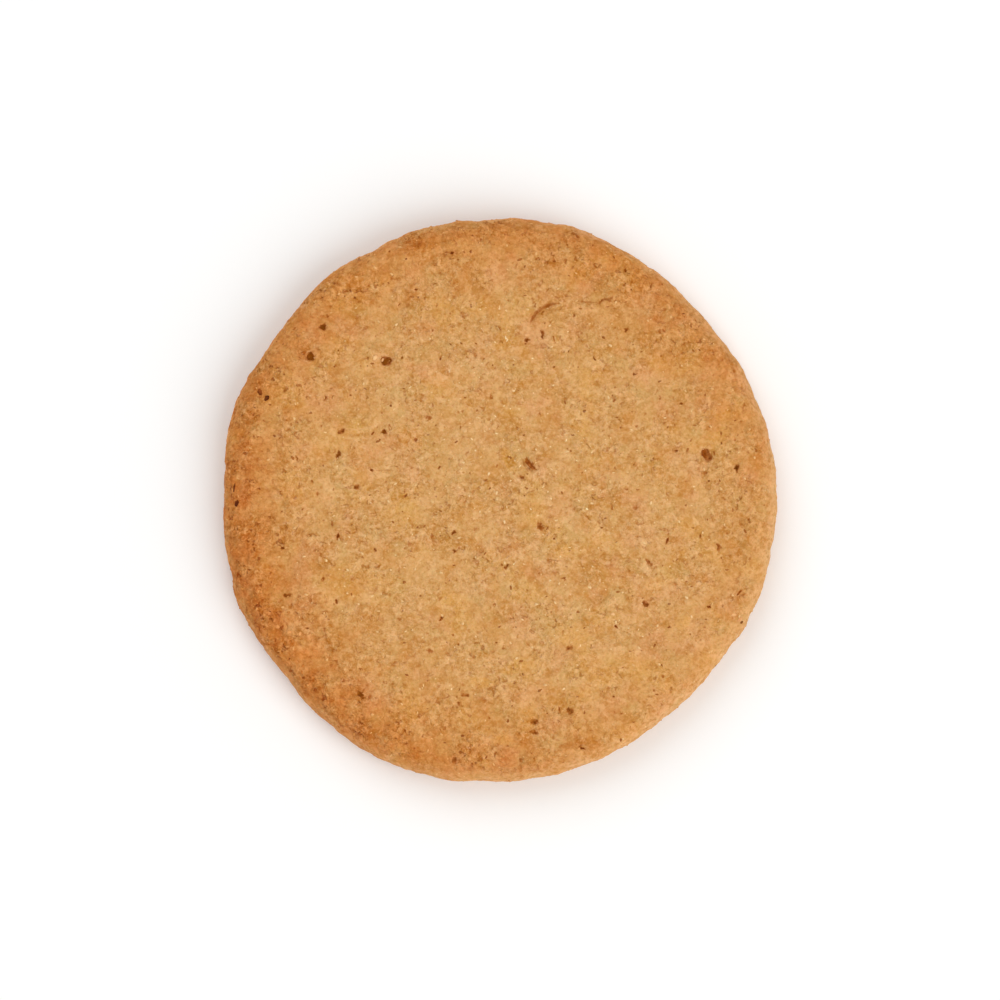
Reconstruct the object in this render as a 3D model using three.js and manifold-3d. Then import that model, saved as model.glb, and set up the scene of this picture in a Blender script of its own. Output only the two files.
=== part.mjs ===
// An oat biscuit: one thin, round, baked piece with an uneven edge, a soft shoulder and a broken crumb.
// Millimetres, +Z up. It lies on its flat underside, and the origin is the middle of the underside.

import * as THREE from "three";
import { mergeVertices } from "three/addons/utils/BufferGeometryUtils.js";
import Module from "manifold-3d";

const wasm = await Module();
wasm.setup();

// ---- Driving dimensions ----

const MEAN_RADIUS = 31;
const THICKNESS = 6.5;

// The upper edge: a wide, soft shoulder. Its width swells and narrows around the rim by a share of itself.
const SHOULDER_WIDTH = 2.8;
const SHOULDER_DROP = 3;
const SHOULDER_SWING = 0.14;
const SHOULDER_SWING_BEARING = 215;

// The lower edge: a smaller round where the dough sat on the baking band.
const FOOT_WIDTH = 1.3;
const FOOT_HEIGHT = 1.6;

// The top sags a little from its middle to the shoulder.
const CROWN_FALL = 0.22;

// Long, shallow waves that the dough kept from rolling out.
const TOP_WAVES = [
  { height: 0.07, length: 24, bearing: 20, start: 0.4 },
  { height: 0.06, length: 17, bearing: 110, start: 2.1 },
  { height: 0.05, length: 12.5, bearing: 65, start: 4.4 },
];

// Where the edge swells out of its mean circle, or is pressed in: the bearing of its middle in degrees
// from +X, how far it rises, and the half width in degrees over which it fades.
const EDGE_SWELLS = [
  { bearing: 22, rise: -0.12, fade: 10 },
  { bearing: 42, rise: -0.38, fade: 14 },
  { bearing: 75, rise: 0.5, fade: 13 },
  { bearing: 100, rise: 0.26, fade: 14 },
  { bearing: 125, rise: 0.2, fade: 9 },
  { bearing: 144, rise: -0.42, fade: 9 },
  { bearing: 181, rise: -0.64, fade: 15 },
  { bearing: 205, rise: 0.14, fade: 6 },
  { bearing: 217, rise: -0.38, fade: 9 },
  { bearing: 252, rise: 0.66, fade: 17 },
  { bearing: 275, rise: 0.24, fade: 11 },
  { bearing: 315, rise: -0.56, fade: 15 },
];

// Finer waves round the edge, where flakes of oat stand out or broke away: how many fit round the biscuit,
// how high each is, and where the first one starts, in radians.
const EDGE_WAVES = [
  { count: 14, height: 0.045, start: 0.6 },
  { count: 19, height: 0.04, start: 3.7 },
  { count: 25, height: 0.045, start: 1.9 },
  { count: 31, height: 0.035, start: 5.2 },
];

// The largest holes and splits in the crumb of the top: where they are from the middle of the dough,
// how long, wide and deep they are, and how far the long way is turned from +X, in degrees.
const CRUMB_HOLES = [
  { name: "largest hole", x: -12.3, y: 15, long: 1.5, wide: 1.3, deep: 0.8, turn: 30 },
  { name: "round hole", x: -19.3, y: 18.8, long: 0.9, wide: 0.9, deep: 0.65, turn: 0 },
  { name: "shallow hole", x: -20.6, y: 15.5, long: 1.2, wide: 1, deep: 0.65, turn: -40 },
  { name: "right hole", x: 23.2, y: 4.5, long: 1.7, wide: 1.2, deep: 0.55, turn: -70 },
  { name: "rim hole", x: 26.4, y: 3.1, long: 1, wide: 0.5, deep: 0.65, turn: 92 },
  { name: "upper hole", x: 3.3, y: 17.3, long: 0.9, wide: 0.5, deep: 0.5, turn: 5 },
  { name: "upper slit", x: 5, y: 17.9, long: 1.2, wide: 0.4, deep: 0.45, turn: -78 },
  { name: "flake split", x: 3.5, y: 3.5, long: 1.9, wide: 0.5, deep: 0.4, turn: -48 },
  { name: "crease foot", x: 4.2, y: 20.1, long: 2.2, wide: 0.6, deep: 0.22, turn: 60 },
  { name: "crease bend", x: 5.8, y: 21.3, long: 2.4, wide: 0.6, deep: 0.22, turn: 24 },
  { name: "crease end", x: 9.7, y: 21.5, long: 2.4, wide: 0.5, deep: 0.2, turn: -4 },
  { name: "left slit", x: -23.1, y: -11, long: 1.2, wide: 0.45, deep: 0.5, turn: 5 },
  { name: "upper left slit", x: -17.2, y: 7.2, long: 1.1, wide: 0.45, deep: 0.45, turn: 45 },
  { name: "inner upper left pit", x: -12.5, y: 7.1, long: 0.7, wide: 0.5, deep: 0.5, turn: 5 },
  { name: "middle left slit", x: -17.5, y: 4.6, long: 1, wide: 0.5, deep: 0.5, turn: 60 },
  { name: "upright left slit", x: -15.5, y: 1, long: 0.9, wide: 0.5, deep: 0.45, turn: 100 },
  { name: "lower left crack", x: -15, y: -21.9, long: 1.6, wide: 0.5, deep: 0.5, turn: -62 },
  { name: "middle pit", x: -4.8, y: -4, long: 0.7, wide: 0.5, deep: 0.45, turn: 0 },
  { name: "middle slit", x: -4.8, y: -6.1, long: 0.8, wide: 0.5, deep: 0.45, turn: 90 },
  { name: "lower slit", x: 1, y: -7.8, long: 1, wide: 0.45, deep: 0.45, turn: 55 },
  { name: "right slit", x: 16.3, y: -11.9, long: 1.2, wide: 0.5, deep: 0.45, turn: -42 },
  { name: "right rim slit", x: 24.4, y: -5.6, long: 1.2, wide: 0.45, deep: 0.45, turn: -78 },
  { name: "lower rim hole", x: -4.7, y: -29.1, long: 1, wide: 0.7, deep: 0.6, turn: 60 },
];

// ---- How finely the solid is divided ----

const TOP_RINGS = 16;
const POINTS_PER_RING_STEP = 6;
const COLUMNS = POINTS_PER_RING_STEP * TOP_RINGS;
const SHOULDER_ROWS = 7;
const WALL_ROWS = 2;
const FOOT_ROWS = 4;
const HOLE_SIDES = 10;
const HOLE_ROWS = 6;

const QUARTER_TURN = Math.PI / 2;
const FULL_TURN = 2 * Math.PI;
const DEGREE = Math.PI / 180;

// ---- The shape as formulas of the bearing and of the place ----

// The signed angle from one bearing to another, between minus and plus half a turn, in degrees.
function turnBetween(from, to) {
  return THREE.MathUtils.euclideanModulo(to - from + 180, 360) - 180;
}

// How far the edge is from the middle of the dough at a bearing in radians.
function edgeRadius(bearing) {
  let radius = MEAN_RADIUS;
  for (const swell of EDGE_SWELLS) {
    const away = turnBetween(swell.bearing, bearing / DEGREE) / swell.fade;
    radius += swell.rise * Math.exp(-away * away);
  }
  for (const wave of EDGE_WAVES) {
    radius += wave.height * Math.sin(wave.count * bearing + wave.start);
  }
  return radius;
}

function shoulderWidth(bearing) {
  const swing = Math.cos(bearing - SHOULDER_SWING_BEARING * DEGREE);
  return SHOULDER_WIDTH * (1 + SHOULDER_SWING * swing);
}

// The height of the top over a place, before its holes are cut and where the shoulder doesn't round it off.
function topHeight(x, y) {
  const share = Math.hypot(x, y) / MEAN_RADIUS;
  let height = THICKNESS - CROWN_FALL * share * share;
  for (const wave of TOP_WAVES) {
    const along = x * Math.cos(wave.bearing * DEGREE) + y * Math.sin(wave.bearing * DEGREE);
    height += wave.height * Math.sin((FULL_TURN * along) / wave.length + wave.start);
  }
  return height;
}

// A point on the dough at a bearing, a distance in from the edge and a height.
function pointInFromEdge(bearing, inset, height) {
  const radius = edgeRadius(bearing) - inset;
  return new THREE.Vector3(radius * Math.cos(bearing), radius * Math.sin(bearing), height);
}

// A point of the top, a share of the way from the middle to where the shoulder begins.
function topPoint(bearing, share) {
  const radius = share * (edgeRadius(bearing) - shoulderWidth(bearing));
  const x = radius * Math.cos(bearing);
  const y = radius * Math.sin(bearing);
  return new THREE.Vector3(x, y, topHeight(x, y));
}

function shoulderPoint(bearing, share) {
  const angle = share * QUARTER_TURN;
  const inset = shoulderWidth(bearing) * (1 - Math.sin(angle));
  const { z } = topPoint(bearing, 1);
  return pointInFromEdge(bearing, inset, z - SHOULDER_DROP * (1 - Math.cos(angle)));
}

function wallPoint(bearing, share) {
  const { z } = shoulderPoint(bearing, 1);
  return pointInFromEdge(bearing, 0, THREE.MathUtils.lerp(z, FOOT_HEIGHT, share));
}

function footPoint(bearing, share) {
  const angle = share * QUARTER_TURN;
  return pointInFromEdge(bearing, FOOT_WIDTH * (1 - Math.cos(angle)), FOOT_HEIGHT * (1 - Math.sin(angle)));
}

// ---- The uncut dough as one closed mesh ----

// The rings of points from the middle of the top, over the edge, to the rim of the underside.
// On the top each ring has six points more than the last, and down the side all have as many.
function doughRings() {
  const rings = [];
  const addRing = (count, pointAt) => {
    rings.push(Array.from({ length: count }, (_, i) => pointAt((FULL_TURN * i) / count)));
  };
  addRing(1, (bearing) => topPoint(bearing, 0));
  for (let k = 1; k <= TOP_RINGS; k += 1) {
    addRing(POINTS_PER_RING_STEP * k, (bearing) => topPoint(bearing, k / TOP_RINGS));
  }
  const bands = [
    [SHOULDER_ROWS, shoulderPoint],
    [WALL_ROWS, wallPoint],
    [FOOT_ROWS, footPoint],
  ];
  for (const [rows, pointAt] of bands) {
    for (let row = 1; row <= rows; row += 1) {
      addRing(COLUMNS, (bearing) => pointAt(bearing, row / rows));
    }
  }
  addRing(1, () => new THREE.Vector3(0, 0, 0));
  return rings;
}

// The triangles between two neighbouring rings, walking round both at once and always stepping on the
// ring that is behind. A ring of one point closes the mesh as a fan.
function stitchRings(inner, outer) {
  const triangles = [];
  const innerSteps = inner.count === 1 ? 0 : inner.count;
  const outerSteps = outer.count === 1 ? 0 : outer.count;
  let i = 0;
  let o = 0;
  while (i < innerSteps || o < outerSteps) {
    const innerNow = inner.first + (i % inner.count);
    const outerNow = outer.first + (o % outer.count);
    const outerIsBehind = i === innerSteps || (o < outerSteps && (o + 1) * innerSteps <= (i + 1) * outerSteps);
    if (outerIsBehind) {
      triangles.push(innerNow, outerNow, outer.first + ((o + 1) % outer.count));
      o += 1;
    } else {
      triangles.push(innerNow, outerNow, inner.first + ((i + 1) % inner.count));
      i += 1;
    }
  }
  return triangles;
}

function doughGeometry() {
  const points = [];
  const triangles = [];
  let last = null;
  for (const ring of doughRings()) {
    const here = { first: points.length, count: ring.length };
    points.push(...ring);
    if (last) {
      triangles.push(...stitchRings(last, here));
    }
    last = here;
  }
  const geometry = new THREE.BufferGeometry().setFromPoints(points);
  geometry.setIndex(triangles);
  return geometry;
}

// ---- Holes in the crumb ----

// A squashed ball whose middle lies on the top, so that its lower half is the hole.
function holeGeometry({ x, y, long, wide, deep, turn }) {
  const geometry = new THREE.SphereGeometry(1, HOLE_SIDES, HOLE_ROWS);
  geometry.rotateX(QUARTER_TURN);
  geometry.scale(long / 2, wide / 2, deep);
  geometry.rotateZ(turn * DEGREE);
  geometry.translate(x, y, heightOfSkin(x, y));
  return geometry;
}

// The height of the dough's skin over a place, on the top or on the shoulder.
function heightOfSkin(x, y) {
  const bearing = Math.atan2(y, x);
  const inset = edgeRadius(bearing) - Math.hypot(x, y);
  const width = shoulderWidth(bearing);
  if (inset >= width) {
    return topHeight(x, y);
  }
  return shoulderPoint(bearing, Math.asin(1 - inset / width) / QUARTER_TURN).z;
}

function toSolid(geometry) {
  geometry.deleteAttribute("normal");
  geometry.deleteAttribute("uv");
  const merged = mergeVertices(geometry);
  return new wasm.Manifold(
    new wasm.Mesh({
      numProp: 3,
      vertProperties: new Float32Array(merged.attributes.position.array),
      triVerts: new Uint32Array(merged.index.array),
    }),
  );
}

function toGeometry(solid) {
  const mesh = solid.getMesh();
  const geometry = new THREE.BufferGeometry();
  geometry.setAttribute("position", new THREE.BufferAttribute(mesh.vertProperties, 3));
  geometry.setIndex(new THREE.BufferAttribute(mesh.triVerts, 1));
  geometry.computeVertexNormals();
  return geometry;
}

// ---- The biscuit ----

// The uneven edge isn't even about the middle of the dough, so the biscuit is moved until the origin is
// under the middle of its box.
function biscuitGeometry() {
  let solid = toSolid(doughGeometry());
  for (const hole of CRUMB_HOLES) {
    solid = solid.subtract(toSolid(holeGeometry(hole)));
  }
  const geometry = toGeometry(solid);
  geometry.computeBoundingBox();
  const middle = geometry.boundingBox.getCenter(new THREE.Vector3());
  geometry.translate(-middle.x, -middle.y, 0);
  return geometry;
}

const bakedDough = new THREE.MeshStandardMaterial({ color: 0xd09a59, roughness: 0.85, metalness: 0 });

const biscuit = new THREE.Mesh(biscuitGeometry(), bakedDough);
biscuit.name = "biscuit";

const oatBiscuit = new THREE.Group();
oatBiscuit.add(biscuit);

export default oatBiscuit;
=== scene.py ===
"""A plain oat biscuit lying on a pale studio floor.

The biscuit is one closed skin of fine baked crumb, laid over the solid of the frame. Bits of bran, of pale
oat and of dark husk are set into it as pieces of their own. Lengths are in metres, and +Z is up.
"""

from __future__ import annotations

import logging
import math
from dataclasses import dataclass, field
from enum import Enum
from typing import Callable, Mapping, Sequence

import bpy
import numpy as np
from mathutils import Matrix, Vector
from mathutils.bvhtree import BVHTree


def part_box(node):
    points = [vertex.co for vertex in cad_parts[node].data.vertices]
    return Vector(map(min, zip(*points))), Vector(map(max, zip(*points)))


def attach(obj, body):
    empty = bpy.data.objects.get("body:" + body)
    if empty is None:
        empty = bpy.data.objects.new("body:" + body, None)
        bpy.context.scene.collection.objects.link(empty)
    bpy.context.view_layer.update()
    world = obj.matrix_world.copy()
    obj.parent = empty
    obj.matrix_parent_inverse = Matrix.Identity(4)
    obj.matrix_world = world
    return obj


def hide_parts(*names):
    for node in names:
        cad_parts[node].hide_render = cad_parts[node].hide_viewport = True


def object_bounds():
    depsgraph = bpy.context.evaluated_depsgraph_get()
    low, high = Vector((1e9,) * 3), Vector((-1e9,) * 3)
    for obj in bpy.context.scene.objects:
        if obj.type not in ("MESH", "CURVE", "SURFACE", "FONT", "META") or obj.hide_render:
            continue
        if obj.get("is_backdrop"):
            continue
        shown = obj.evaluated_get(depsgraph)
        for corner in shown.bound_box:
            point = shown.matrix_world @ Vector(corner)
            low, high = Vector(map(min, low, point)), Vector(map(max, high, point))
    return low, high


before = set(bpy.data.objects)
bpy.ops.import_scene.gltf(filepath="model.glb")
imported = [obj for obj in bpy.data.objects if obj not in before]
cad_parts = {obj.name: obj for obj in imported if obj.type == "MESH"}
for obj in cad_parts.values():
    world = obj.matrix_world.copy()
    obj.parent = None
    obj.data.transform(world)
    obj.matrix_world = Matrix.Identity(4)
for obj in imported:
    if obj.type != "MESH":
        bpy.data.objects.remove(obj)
CAD_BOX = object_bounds()

LOG = logging.getLogger("oat_biscuit")
MM = 0.001
BODY = "root"
NODE = "biscuit"

# What goes into a node, by the name or the number of its socket.
Inputs = Mapping[str | int, object]


# ---- Colour, nodes and trees ----


def linear(code: str) -> tuple[float, float, float, float]:
    """Turns an sRGB hex colour into the linear colour that shaders and lights take.

    Args:
        code: The colour as "#rrggbb".

    Returns:
        Linear red, green and blue, and an alpha of 1.
    """
    parts = [int(code[i : i + 2], 16) / 255 for i in (1, 3, 5)]
    red, green, blue = (p / 12.92 if p <= 0.04045 else ((p + 0.055) / 1.055) ** 2.4 for p in parts)
    return red, green, blue, 1.0


def shown(sockets: Sequence[bpy.types.NodeSocket], name: str) -> bpy.types.NodeSocket:
    """Finds the socket of a name that the node shows with its present settings.

    Args:
        sockets: A node's inputs or outputs.
        name: The socket's name.

    Returns:
        The first enabled socket of that name.
    """
    return next(s for s in sockets if s.enabled and s.name == name)


def add_node(
    tree: bpy.types.NodeTree,
    kind: str,
    inputs: Inputs | None = None,
    **settings: object,
) -> bpy.types.Node:
    """Adds a node with its settings, values and links.

    Args:
        tree: The tree it goes into.
        kind: The node's type name.
        inputs: By socket name or number, a value, a socket to link, or a node whose first output is linked.
        settings: The node's own properties.

    Returns:
        The new node.
    """
    node = tree.nodes.new(kind)
    for name, value in settings.items():
        setattr(node, name, value)
    for key, value in (inputs or {}).items():
        socket = node.inputs[key] if isinstance(key, int) else shown(node.inputs, key)
        if isinstance(value, bpy.types.Node):
            value = next(s for s in value.outputs if s.enabled)
        if isinstance(value, bpy.types.NodeSocket):
            tree.links.new(value, socket)
        else:
            socket.default_value = value
    return node


class Recipe:
    """A Geometry Nodes tree with named inputs, which is run on a mesh and leaves a plain mesh."""

    SOCKETS = {float: "NodeSocketFloat", int: "NodeSocketInt", bpy.types.Material: "NodeSocketMaterial"}

    def __init__(self, name: str, values: Mapping[str, object]) -> None:
        """Makes the tree with a mesh input, an input for each value, and a mesh output.

        Args:
            name: The tree's name.
            values: The value of each input, by its name.
        """
        self.values = dict(values)
        self.tree = bpy.data.node_groups.new(name, "GeometryNodeTree")
        interface = self.tree.interface
        interface.new_socket("Mesh", in_out="INPUT", socket_type="NodeSocketGeometry")
        for key, value in self.values.items():
            interface.new_socket(key, in_out="INPUT", socket_type=self.SOCKETS[type(value)])
        interface.new_socket("Mesh", in_out="OUTPUT", socket_type="NodeSocketGeometry")
        self.inputs = self.tree.nodes.new("NodeGroupInput").outputs

    def add(self, kind: str, inputs: Inputs | None = None, **settings: object) -> bpy.types.Node:
        """Adds a node to this tree, as add_node does."""
        return add_node(self.tree, kind, inputs, **settings)

    def run(self, piece: bpy.types.Object, result: bpy.types.Node) -> None:
        """Ends the tree, runs it on a piece and keeps the result as the piece's plain mesh.

        Args:
            piece: The object whose mesh goes in and is replaced.
            result: The node whose geometry comes out.
        """
        self.add("NodeGroupOutput", {"Mesh": result})
        modifier = piece.modifiers.new(self.tree.name, "NODES")
        modifier.node_group = self.tree
        for item in self.tree.interface.items_tree:
            if item.in_out == "INPUT" and item.name in self.values:
                modifier[item.identifier] = self.values[item.name]
        graph = bpy.context.evaluated_depsgraph_get()
        made = bpy.data.meshes.new_from_object(piece.evaluated_get(graph), depsgraph=graph)
        piece.modifiers.remove(modifier)
        piece.data = made



def new_object(name: str, data: bpy.types.ID) -> bpy.types.Object:
    """Puts a mesh, lamp or camera into the scene as an object at the origin.

    Args:
        name: The object's name.
        data: What it shows.

    Returns:
        The object.
    """
    thing = bpy.data.objects.new(name, data)
    bpy.context.scene.collection.objects.link(thing)
    return thing


def keep_values(mesh: bpy.types.Mesh, values: Mapping[str, Sequence[float]]) -> None:
    """Keeps values on the points of a mesh.

    Args:
        mesh: The mesh.
        values: One number for each point, by the attribute's name.
    """
    for name, numbers in values.items():
        kept = mesh.attributes.new(name, "FLOAT", "POINT")
        kept.data.foreach_set("value", np.asarray(numbers, dtype=np.float32))


def mean_reach(low: Vector, high: Vector) -> float:
    """Gives how far a box reaches sideways from its middle, as the mean of its length and width."""
    return (high.x - low.x + high.y - low.y) / 4


def ragged(
    add: Callable, place: bpy.types.Node | bpy.types.NodeSocket, noise: bpy.types.Node, reach: float
) -> bpy.types.Node:
    """Moves places aside by a noise, so that what is drawn on them comes out ragged.

    Args:
        add: What adds a node to the tree.
        place: The places.
        noise: The noise, of which the colour is read.
        reach: How far apart the noise can move them, in the units of the places.

    Returns:
        The node of the moved places.
    """
    aside = add("ShaderNodeVectorMath", {0: noise.outputs["Color"], 1: (0.5, 0.5, 0.5)}, operation="SUBTRACT")
    aside = add("ShaderNodeVectorMath", {0: aside, "Scale": reach}, operation="SCALE")
    return add("ShaderNodeVectorMath", {0: place, 1: aside}, operation="ADD")


def new_material(name: str, **sockets: object) -> tuple[bpy.types.Material, bpy.types.Node]:
    """Makes a material whose shader has the given plain values.

    Args:
        name: The material's name.
        sockets: Values by the shader's socket names, with underscores for spaces.

    Returns:
        The material and its shader node.
    """
    material = bpy.data.materials.new(name)
    material.use_nodes = True
    shader = next(n for n in material.node_tree.nodes if n.type == "BSDF_PRINCIPLED")
    for key, value in sockets.items():
        shader.inputs[key.replace("_", " ")].default_value = value
    return material, shader


# ---- The solid of the frame, as the fine skin finds it ----


class Solid:
    """The biscuit's solid in the frame, which gives the skin its shape."""

    FAR = 100 * MM
    # Where up the side the edge is measured, as a share of the height.
    EDGE_HEIGHT = 0.4

    def __init__(self, node: str) -> None:
        """Reads the node's box and its faces.

        Args:
            node: The node's name in the frame.
        """
        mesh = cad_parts[node].data
        self.low, self.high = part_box(node)
        corners = [tuple(v.co) for v in mesh.vertices]
        faces = [tuple(p.vertices) for p in mesh.polygons]
        self.tree = BVHTree.FromPolygons(corners, faces)

    def hit(self, start: np.ndarray, way: np.ndarray) -> np.ndarray:
        """Finds where straight lines first meet the solid.

        Args:
            start: Where each line starts, one row each.
            way: Each line's direction, one row each.

        Returns:
            The points on the solid, one row each.
        """
        found = np.empty_like(start)
        for i, (s, w) in enumerate(zip(start, way)):
            point = self.tree.ray_cast(Vector(s), Vector(w))[0]
            if point is None:
                raise ValueError(f"a line from {tuple(s)} misses the solid")
            found[i] = point
        return found

    def edge_radius(self, bearings: np.ndarray) -> np.ndarray:
        """Measures how far the edge is from the middle at each bearing.

        Args:
            bearings: Bearings from +X, in radians.

        Returns:
            The radii, in metres.
        """
        out = np.stack([np.cos(bearings), np.sin(bearings), np.zeros_like(bearings)], 1)
        height = np.array([0, 0, self.EDGE_HEIGHT * self.high.z])
        return np.linalg.norm(self.hit(out * self.FAR + height, -out)[:, :2], axis=1)


# ---- The baked dough ----


@dataclass(frozen=True)
class OvenBrowning:
    """How far the oven browned the biscuit: hardly in the middle, much near the edge, unevenly round it.

    Round the edge it is partly the oven's and partly painted light and shade: brownest on the side away from
    the key lamp, and with the palest rim on the side towards it.
    """

    mean: float = 0.88
    swing: float = 0.41
    brownest_away_from_lamp: float = math.radians(176)
    cross_swing: float = 0.285
    reach: float = 4.7 * MM
    steepness: float = 1.1
    paler_rim: float = 0.64
    rim_swing: float = 0.27
    palest_rim_towards_lamp: float = math.radians(-30)
    rim_width: float = 1.3 * MM
    underside: float = 0.5
    underside_turn: float = 0.8

    def share(self, bearing: np.ndarray, inset: np.ndarray, turn: np.ndarray) -> np.ndarray:
        """Gives the browning of each point.

        Args:
            bearing: Each point's bearing, in radians.
            inset: How far in from the edge it is, in metres.
            turn: 0 on the top, rising to 1 down the side, and 1 underneath.

        Returns:
            0 for pale dough, and 1 or more where it is brownest.
        """
        round_the_edge = self.mean + self.swing * np.cos(bearing - self.brownest_away_from_lamp)
        round_the_edge += self.cross_swing * np.sin(2 * bearing)
        paler = self.paler_rim + self.rim_swing * np.cos(bearing - self.palest_rim_towards_lamp)
        rim = 1 - paler * np.exp(-((inset / self.rim_width) ** 2))
        from_above = round_the_edge * rim * np.exp(-((inset / self.reach) ** self.steepness))
        below = np.clip((turn - self.underside_turn) / (1 - self.underside_turn), 0, 1)
        return from_above * (1 - below) + self.underside * below


@dataclass(frozen=True)
class RimSkin:
    """The smooth skin that closes the crumb towards the edge, wider on the side towards the key lamp, where
    the paler skin is partly painted light.
    """

    width: float = 0.75 * MM
    swing: float = 0.6 * MM
    widest_towards_lamp: float = math.radians(-38)
    side: float = 0.6
    underside: float = 0.5
    underside_turn: float = 0.5
    closed_share: float = 0.4

    def openness(self, bearing: np.ndarray, inset: np.ndarray, turn: np.ndarray) -> np.ndarray:
        """Gives how open the crumb is at each point.

        Args:
            bearing: Each point's bearing, in radians.
            inset: How far in from the edge it is, in metres.
            turn: 0 on the top, rising to 1 down the side, and 1 underneath.

        Returns:
            1 on the open top, falling to the shares of the side and of the underside.
        """
        width = self.width + self.swing * np.cos(bearing - self.widest_towards_lamp)
        step = np.clip(inset / width - self.closed_share, 0, 1)
        top = self.side + (1 - self.side) * step * step * (3 - 2 * step)
        below = np.clip((turn - self.underside_turn) / (1 - self.underside_turn), 0, 1)
        return top * (1 - below) + self.underside * below


@dataclass(frozen=True)
class OatFlake:
    """A flat flake of rolled oat that lies in the top and shows as a soft yellowish patch."""

    x: float
    y: float
    length: float
    width: float
    turn: float
    strength: float = 1.0

    # A share before it is held to 1: in the middle of the flake, and what is lost on the way to its rim.
    INSIDE = 1.6
    FADE = 1.2

    def share(self, points: np.ndarray) -> np.ndarray:
        """Gives how far each point lies in the flake.

        Args:
            points: The points, one row each.

        Returns:
            The flake's strength well inside it, fading to 0 a little past its rim.
        """
        dx, dy = points[:, 0] - self.x * MM, points[:, 1] - self.y * MM
        cos, sin = math.cos(math.radians(self.turn)), math.sin(math.radians(self.turn))
        along = (dx * cos + dy * sin) / (self.length * MM / 2)
        across = (dy * cos - dx * sin) / (self.width * MM / 2)
        return self.strength * np.clip(self.INSIDE - self.FADE * np.hypot(along, across), 0, 1)


@dataclass(frozen=True)
class Crease:
    """A fine crease in the top, where one flake laps over another: an arc that tapers to both its ends.

    Its middle is given by its bearing and its share of the way to the edge. A positive bend curves to the
    left. The crease is painted dark as shade, as strongly as its shade, and the dough on its right, as far as
    its lap, is darker with painted shade.
    """

    bearing: float
    out: float
    length: float
    width: float
    turn: float
    bend: float = 0.0
    lap: float = 0.0
    shade: float = 1.0

    FAR = 1 * MM
    # How long a crease keeps its width before its ends taper.
    BLUNTNESS = 3

    def measure(self, points: np.ndarray, reach: float) -> tuple[np.ndarray, np.ndarray, np.ndarray]:
        """Measures where points lie from the crease.

        Args:
            points: The points, one row each.
            reach: How far the edge of the biscuit is from its middle.

        Returns:
            How far each point is to the left of the crease, the crease's half width beside it, which is less
            than 0 past its ends, and how much painted shade the lap puts on the point.
        """
        away, turn = math.radians(self.bearing), math.radians(self.turn)
        dx = points[:, 0] - reach * self.out * math.cos(away)
        dy = points[:, 1] - reach * self.out * math.sin(away)
        along = dx * math.cos(turn) + dy * math.sin(turn)
        across = dy * math.cos(turn) - dx * math.sin(turn)
        if self.bend:
            radius = self.length * MM / math.radians(self.bend)
            side = math.copysign(1, radius)
            angle = np.arctan2(along, side * (radius - across))
            across = side * (abs(radius) - np.hypot(along, across - radius))
            along = abs(radius) * angle
        half = self.length * MM / 2
        taper = np.clip(1 - np.abs(along / half) ** self.BLUNTNESS, 0, 1)
        half_width = self.width * MM / 2 * taper - np.maximum(np.abs(along) - half, 0)
        near = (np.abs(across) < self.FAR) & (half_width > -self.FAR)
        lap = np.zeros_like(across)
        if self.lap:
            lap = np.where(across < 0, np.exp(across / (self.lap * MM)), 0) * taper
        return np.where(near, across, self.FAR), np.where(near, half_width, -self.FAR), lap


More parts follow.
